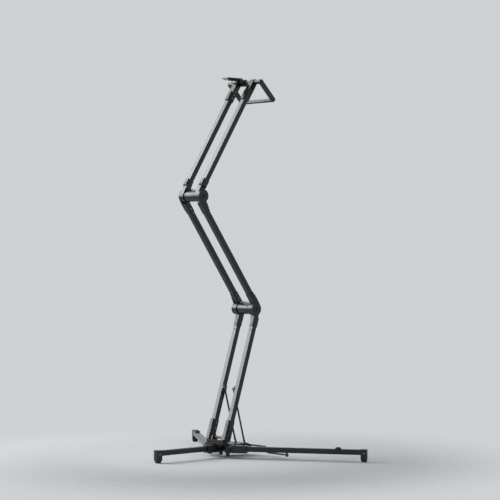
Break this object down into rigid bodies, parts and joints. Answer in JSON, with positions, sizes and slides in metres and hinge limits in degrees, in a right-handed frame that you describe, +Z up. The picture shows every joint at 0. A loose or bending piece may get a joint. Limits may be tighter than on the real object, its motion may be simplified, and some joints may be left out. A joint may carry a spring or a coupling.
{
  "type": "overhead camera stand",
  "caption": "Free-standing folding mast of twin rectangular tubes with barrel elbows, a tilting plate clamp and hinged handle on top, on a low hub with splayed folding legs.",
  "frame": {"origin": "on the ground, below the middle of the footprint", "axes": "+Z up, +X along the elbow axles to the stand's right side, -Y to the front, where the short leg points"},
  "size_m": [1.0256, 0.6324, 1.4819],
  "materials": {
    "tube": "satin black anodised extrusion with fine lengthwise die lines",
    "casting": "satin black anodised machined aluminium",
    "steel": "blackened turned steel",
    "rod": "semi-matt black powder coat",
    "rubber": "matt black moulded rubber",
    "knob": "matt black moulded plastic with ribs"
  },
  "bodies": {
    "base": {"hub_casting": "casting", "mast_bracket": "casting", "foot_axle": "steel", "front_knuckle": "casting", "front_leg_tube": "tube", "front_end_post": "casting", "front_foot_pad": "rubber", "front_pivot_bolt": "steel", "right_pivot_bolt": "steel", "left_pivot_bolt": "steel", "right_brace_pin": "steel", "left_brace_pin": "steel"},
    "right_leg": {"right_knuckle": "casting", "right_leg_tube": "tube", "right_end_post": "casting", "right_foot_pad": "rubber", "right_bumper": "rubber"},
    "left_leg": {"left_knuckle": "casting", "left_leg_tube": "tube", "left_end_post": "casting", "left_foot_pad": "rubber", "left_bumper": "rubber"},
    "right_brace_bar": {"right_brace": "rod"},
    "left_brace_bar": {"left_brace": "rod"},
    "lower_arm": {"lower_tube_left": "tube", "lower_tube_right": "tube", "lower_foot_left": "casting", "lower_foot_right": "casting", "lower_head_left": "casting", "lower_head_right": "casting", "stay_lug_left": "casting", "stay_lug_right": "casting", "elbow_1_barrel": "casting"},
    "stays": {"left_stay": "rod", "right_stay": "rod"},
    "middle_arm": {"middle_tube_left": "tube", "middle_tube_right": "tube", "elbow_1_lug_left": "casting", "elbow_1_lug_right": "casting", "elbow_2_lug_left": "casting", "elbow_2_lug_right": "casting", "elbow_1_axle": "steel", "elbow_2_axle": "steel"},
    "upper_arm": {"upper_tube_left": "tube", "upper_tube_right": "tube", "upper_foot_left": "casting", "upper_foot_right": "casting", "upper_head_left": "casting", "upper_head_right": "casting", "elbow_2_barrel": "casting", "top_axle": "steel"},
    "head": {"head_arm": "casting", "tilt_lock_boss": "casting", "head_spacer": "steel"},
    "plate": {"release_plate": "casting", "camera_screw": "steel"},
    "knob": {"clamp_knob": "knob"},
    "handle": {"handle_strut_left": "casting", "handle_strut_right": "casting", "handle_crossbar": "casting"}
  },
  "joints": [
    {"name": "mast_fold", "type": "hinge", "parent": "base", "child": "lower_arm", "pos_m": [0, 0.00058, 0.077], "axis": [-1, 0, 0], "range_deg": [0, 72.3]},
    {"name": "stay_swing", "type": "hinge", "parent": "lower_arm", "child": "stays", "pos_m": [0, 0.05396, 0.26465], "axis": [1, 0, 0], "range_deg": [0, 147.53]},
    {"name": "elbow_1", "type": "hinge", "parent": "lower_arm", "child": "middle_arm", "pos_m": [0, 0.14378, 0.57504], "axis": [1, 0, 0], "range_deg": [-52.87, 127.13]},
    {"name": "elbow_2", "type": "hinge", "parent": "middle_arm", "child": "upper_arm", "pos_m": [0, -0.12892, 1.01412], "axis": [-1, 0, 0], "range_deg": [-67.45, 112.55]},
    {"name": "head_tilt", "type": "hinge", "parent": "upper_arm", "child": "head", "pos_m": [0, 0.13825, 1.46515], "axis": [1, 0, 0], "range_deg": [-60, 75]},
    {"name": "plate_slide", "type": "slide", "parent": "head", "child": "plate", "axis": [0, -1, 0], "range_m": [0, 0.03]},
    {"name": "knob_turn", "type": "hinge", "parent": "head", "child": "knob", "pos_m": [0.0163, 0.10325, 1.46965], "axis": [1, 0, 0], "range_deg": [0, 360]},
    {"name": "handle_swing", "type": "hinge", "parent": "upper_arm", "child": "handle", "pos_m": [0, 0.13825, 1.46515], "axis": [1, 0, 0], "range_deg": [-60, 100]},
    {"name": "right_leg_swing", "type": "hinge", "parent": "base", "child": "right_leg", "pos_m": [0.0526, 0.00058, 0.034], "axis": [0, 0, 1], "range_deg": [0, 56]},
    {"name": "left_leg_swing", "type": "hinge", "parent": "base", "child": "left_leg", "pos_m": [-0.0526, 0.00058, 0.034], "axis": [0, 0, -1], "range_deg": [0, 56]},
    {"name": "right_brace_swing", "type": "hinge", "parent": "base", "child": "right_brace_bar", "pos_m": [0.018, 0.13608, 0.041], "axis": [0, 0, 1], "range_deg": [0, 90.1]},
    {"name": "left_brace_swing", "type": "hinge", "parent": "base", "child": "left_brace_bar", "pos_m": [-0.018, 0.13608, 0.041], "axis": [0, 0, -1], "range_deg": [0, 90.1]}
  ],
  "couplings": [
    {"joint": "stay_swing", "follows": "mast_fold", "ratio": 2.0392},
    {"joint": "right_brace_swing", "follows": "right_leg_swing", "ratio": 1.6071},
    {"joint": "left_brace_swing", "follows": "left_leg_swing", "ratio": 1.6071}
  ]
}
